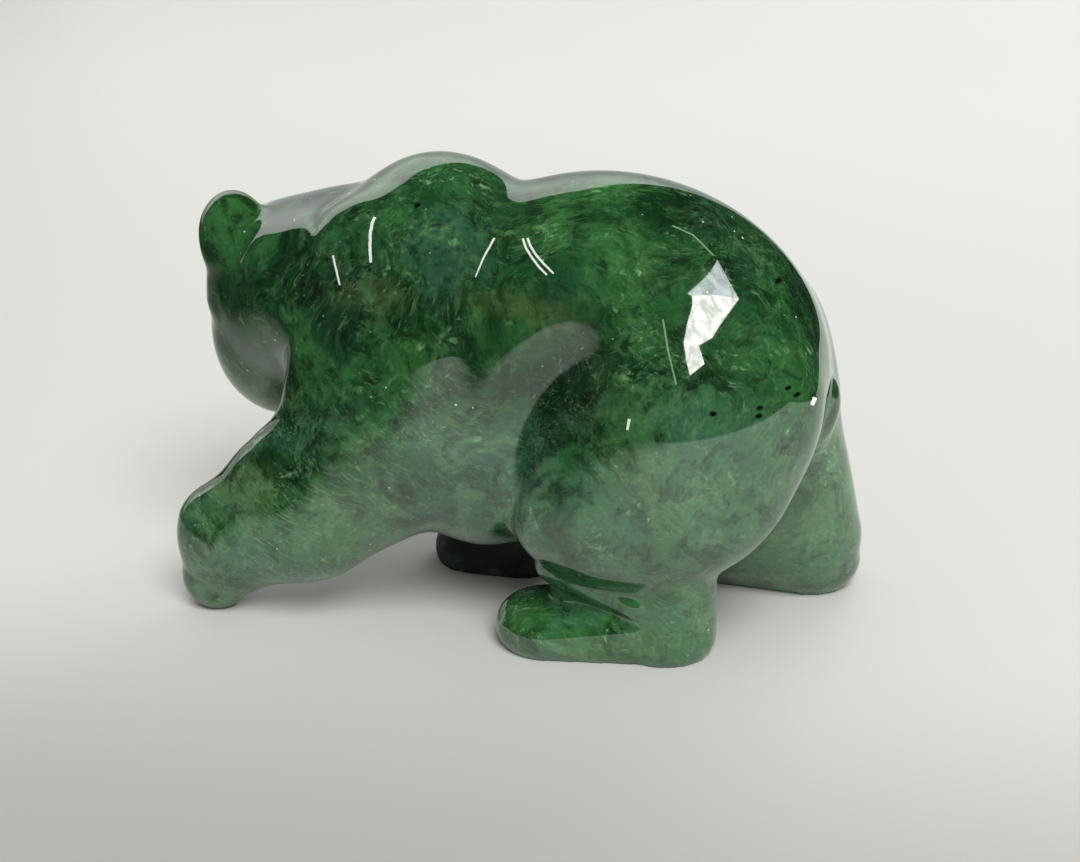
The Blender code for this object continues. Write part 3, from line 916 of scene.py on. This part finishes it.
# bright panes close to the stone, each mirrored in one place only. Outlines are in pixels of the
# photo, and away is metres from the skin. A flat pane faces its own mirrored looks, or those of its
# guide, and leans if it says so. A curved one follows the skin.
brightPanes = [
    {"name": "window", "glow": 12.0, "colour": (1.0, 0.985, 0.95, 1), "away": 0.03,
     "guide": wholeWindow, "outline": closeSet(windowShape["bar"] + windowShape["glass"])},
    {"name": "windowSky", "glow": 7.5, "colour": (0.90, 0.95, 1.0, 1), "away": 0.03,
     "guide": wholeWindow, "outline": closeSet(
         windowShape["sky"] + windowShape["glass"][:1] + windowShape["bar"][::-1])},
    {"name": "shoulderTube", "glow": 9.0, "colour": tubeColour, "away": 0.009, "outline": edgesOf(
        [(375, 217), (371.5, 228), (370.3, 240), (370.8, 262.5)], [2.6, 2.8, 2.8, 2.6])},
    {"name": "chestTube", "glow": 8.0, "colour": tubeColour, "away": 0.009, "outline": edgesOf(
        [(333, 255), (336.3, 270), (339.8, 285)], [1.8, 2.0, 1.6])},
    {"name": "notchTube", "glow": 9.0, "colour": tubeColour, "away": 0.0016, "curved": True,
     "outline": edgesOf([(494.5, 238), (490, 246.5), (485, 255), (480, 266), (475.5, 277)],
                        [2.0, 1.9, 1.8, 1.6, 1.2])},
    {"name": "leftTube", "glow": 9.0, "colour": tubeColour, "away": 0.004, "guide": tubePair,
     "lean": (1, 0, 0), "outline": edgesOf(
         [(522.8, 238.5), (526, 248), (531.5, 257), (539, 267), (547, 275)], [2.2, 2.2, 2.2, 2.2, 1.8])},
    {"name": "rightTube", "glow": 9.0, "colour": tubeColour, "away": 0.004, "guide": tubePair,
     "lean": (1, 0, 0), "outline": edgesOf(
         [(527.5, 238), (530.5, 246), (536, 255), (544, 264), (553.5, 273.5)], [2.2, 2.2, 2.2, 2.2, 1.8])},
    {"name": "lowGlint", "glow": 8.0, "colour": tubeColour, "away": 0.009, "outline": edgesOf(
        [(629.3, 419), (627.3, 430)], [3, 2.4])},
    {"name": "rearGlint", "glow": 8.0, "colour": tubeColour, "away": 0.009, "outline": edgesOf(
        [(815, 397.5), (812, 405)], [4.5, 3.5])},
]


def plainMaterial(name, colour, roughness, mirror=0.5):
    material = bpy.data.materials.new(name)
    material.use_nodes = True
    surface = material.node_tree.nodes["Principled BSDF"]
    surface.inputs["Base Color"].default_value = colour
    surface.inputs["Roughness"].default_value = roughness
    surface.inputs["Specular IOR Level"].default_value = mirror
    return material


def glowingMaterial(name, colour, glow):
    material = plainMaterial(name, (0, 0, 0, 1), roughness=1.0, mirror=0.0)
    surface = material.node_tree.nodes["Principled BSDF"]
    surface.inputs["Emission Color"].default_value = colour
    surface.inputs["Emission Strength"].default_value = glow
    return material


def sheetOf(name, corners, material):
    mesh = bpy.data.meshes.new(name)
    mesh.from_pydata([tuple(corner) for corner in corners], [], [list(range(len(corners)))])
    sheet = bpy.data.objects.new(name, mesh)
    bpy.context.scene.collection.objects.link(sheet)
    mesh.materials.append(material)
    return sheet


def onlyReflected(thing):
    thing.visible_camera = False
    thing.visible_diffuse = False
    thing.visible_shadow = False
    thing.visible_transmission = False


def shadeAlong(material, colour, way, shades):
    # paints shade into a plain colour, darker little by little along one way
    tree = material.node_tree
    where = addNode(tree, "ShaderNodeTexCoord").outputs["Object"]
    along = vectorSums(tree, "DOT_PRODUCT", where, way)
    mixed = colour
    for near, far, dim in shades:
        mixed = dimmed(tree, mixed, fade(tree, along, near, far, dim, 1.0))
    tree.links.new(mixed, tree.nodes["Principled BSDF"].inputs["Base Color"])


def floorSheets():
    material = plainMaterial("paleFloor", studio["floorColour"], studio["floorGloss"],
                             studio["floorMirror"])
    shadeAlong(material, studio["floorColour"], studio["floorWay"], studio["floorShades"])
    far = studio["floorReach"]
    floor = sheetOf("floor", [(-far, -far, 0), (far, -far, 0), (far, far, 0), (-far, far, 0)], material)
    floor.visible_glossy = False
    material = plainMaterial("mirroredTable", studio["tableColour"], roughness=1.0, mirror=0.0)
    shadeAlong(material, studio["tableColour"], studio["tableWay"], studio["tableShades"])
    corners = [(x, y, studio["tableHeight"]) for x, y in studio["table"]]
    onlyReflected(sheetOf("table", corners, material))


def brightScreen():
    corners = [(x, studio["screenAway"], z) for x, z in studio["screenOutline"]]
    material = glowingMaterial("screen", (1, 1, 1, 1), 1.0)
    tree = material.node_tree
    where = addNode(tree, "ShaderNodeTexCoord").outputs["Object"]
    height = addNode(tree, "ShaderNodeSeparateXYZ", None, {"Vector": where}).outputs["Z"]
    glow = fade(tree, height, *studio["screenGlow"])
    tree.links.new(glow, tree.nodes["Principled BSDF"].inputs["Emission Strength"])
    onlyReflected(sheetOf("screen", corners, material))


def streak(material, glow):
    # dull streaks in the light of a pane
    tree = material.node_tree
    where = addNode(tree, "ShaderNodeTexCoord").outputs["Object"]
    stretched = vectorSums(tree, "MULTIPLY", where, windowShape["streakStretch"])
    streaks = noise(tree, stretched, *windowShape["streakNoise"])
    dull = glow * (1 - windowShape["streaks"])
    glow = fade(tree, streaks, *windowShape["streakEdges"], dull, glow)
    tree.links.new(glow, tree.nodes["Principled BSDF"].inputs["Emission Strength"])


def paneCorners(pane, offset):
    # each corner hangs where the polish mirrors the photo's look at its pixel
    places, ways = seenInPhoto(pane["outline"], offset)
    if "curved" in pane:
        return places + pane["away"] * ways
    guide, guideWays = seenInPhoto(pane["guide"], offset) if "guide" in pane else (places, ways)
    facing = guideWays.mean(axis=0)
    facing /= np.linalg.norm(facing)
    middle = guide.mean(axis=0) + pane["away"] * facing
    facing = facing + pane.get("lean", (0, 0, 0))
    far = (middle - places) @ facing / (ways @ facing)
    return places + far[:, None] * ways


def hangPanes(offset):
    for pane in brightPanes:
        material = glowingMaterial(pane["name"], pane["colour"], pane["glow"])
        if pane["name"].startswith("window"):
            streak(material, pane["glow"])
        onlyReflected(sheetOf(pane["name"], paneCorners(pane, offset), material))


def softLamp(name, location, size, power, colour):
    lamp = bpy.data.lights.new(name, "POINT")
    lamp.shadow_soft_size = size / 2
    lamp.energy = power
    lamp.color = colour
    thing = bpy.data.objects.new(name, lamp)
    bpy.context.scene.collection.objects.link(thing)
    thing.location = location
    thing.visible_glossy = False


def roomAir():
    # the room is dark in the polish, and pale to the eye and to soft light
    world = bpy.data.worlds.new("room")
    bpy.context.scene.world = world
    world.use_nodes = True
    tree = world.node_tree
    tree.nodes.clear()
    path = tree.nodes.new("ShaderNodeLightPath")
    dark = addNode(tree, "ShaderNodeBackground", None, studio["roomDark"])
    pale = addNode(tree, "ShaderNodeBackground", None, studio["roomPale"])
    mixed = addNode(tree, "ShaderNodeMixShader", None, {"Fac": path.outputs["Is Glossy Ray"]})
    tree.links.new(pale.outputs[0], mixed.inputs[1])
    tree.links.new(dark.outputs[0], mixed.inputs[2])
    leaving = tree.nodes.new("ShaderNodeOutputWorld")
    tree.links.new(mixed.outputs[0], leaving.inputs[0])


photoCamera()
bear, bearOffset = carvedBear()
bear.data.materials.append(jadeStone(bearOffset))
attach(bear, "root")
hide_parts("bear")
print("jade laid on")

floorSheets()
brightScreen()
hangPanes(bearOffset)
for lamp in softLamps:
    softLamp(**lamp)
roomAir()
bpy.context.scene.view_settings.view_transform = "Standard"
print("studio lit")
